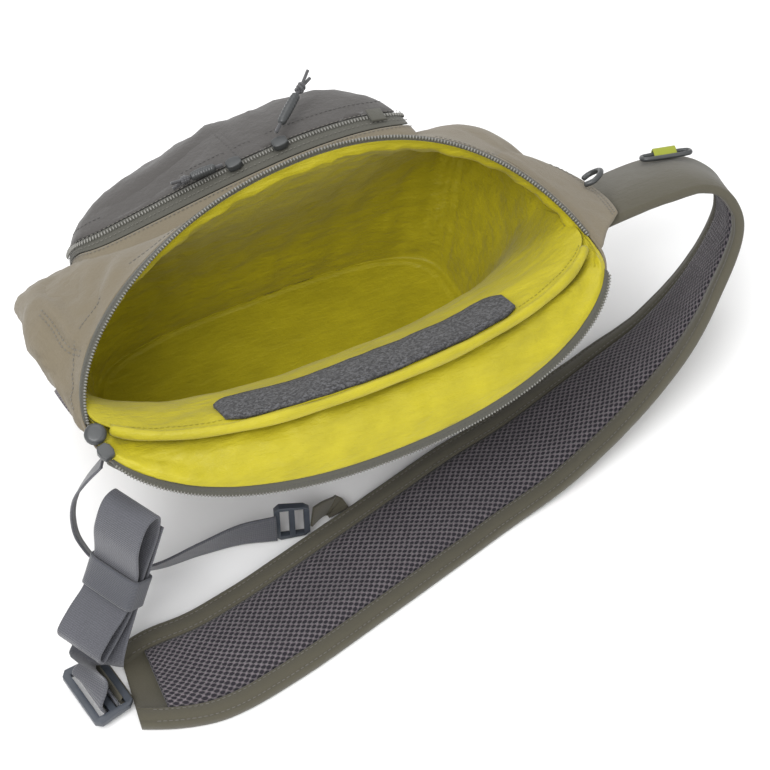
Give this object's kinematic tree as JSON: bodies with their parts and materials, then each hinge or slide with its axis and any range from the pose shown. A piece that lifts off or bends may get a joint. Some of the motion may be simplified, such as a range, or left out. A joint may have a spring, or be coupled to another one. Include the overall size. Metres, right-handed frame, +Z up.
{
  "type": "fishing tackle sling bag",
  "caption": "Open sling bag with a wide padded shoulder strap, a zipped front pocket, a bright lining and folded webbing at its buckle.",
  "frame": {"origin": "middle of the flat base, on the floor", "axes": "+X to the shoulder end of the bag, +Y to the front pocket, +Z up"},
  "size_m": [0.4745, 0.3017, 0.1764],
  "materials": {
    "canvas": "matt",
    "lining": "satin",
    "pocket_cloth": "matt",
    "trim": "matt",
    "strap_cloth": "matt",
    "mesh": "matt",
    "webbing": "matt",
    "plastic": "satin",
    "accent": "matt"
  },
  "bodies": {
    "root": {"back_panel_binding": "trim", "back_panel_mesh": "mesh", "corner_tab": "trim", "dock_tab": "accent", "gear_loop": "plastic", "lining": "lining", "loop_strip": "trim", "main_shell": "canvas", "main_webbing": "webbing", "main_zip_back": "trim", "main_zip_front": "trim", "main_zip_slider": "plastic", "pocket_face": "pocket_cloth", "pocket_gusset": "canvas", "pocket_pull_left": "trim", "pocket_pull_right": "trim", "pocket_slider_left": "plastic", "pocket_slider_right": "plastic", "pocket_tab": "webbing", "pocket_zip_band": "trim", "side_buckle": "plastic", "side_buckle_tab": "strap_cloth", "side_webbing": "webbing", "slip_pocket": "lining", "slip_pocket_hem": "lining", "strap_buckle": "plastic", "strap_cloth": "strap_cloth", "strap_end_tab": "strap_cloth", "strap_mesh_pad": "mesh", "strap_wing": "canvas", "tool_dock": "plastic", "webbing_keeper": "trim", "webbing_tail": "webbing"}
  },
  "joints": []
}
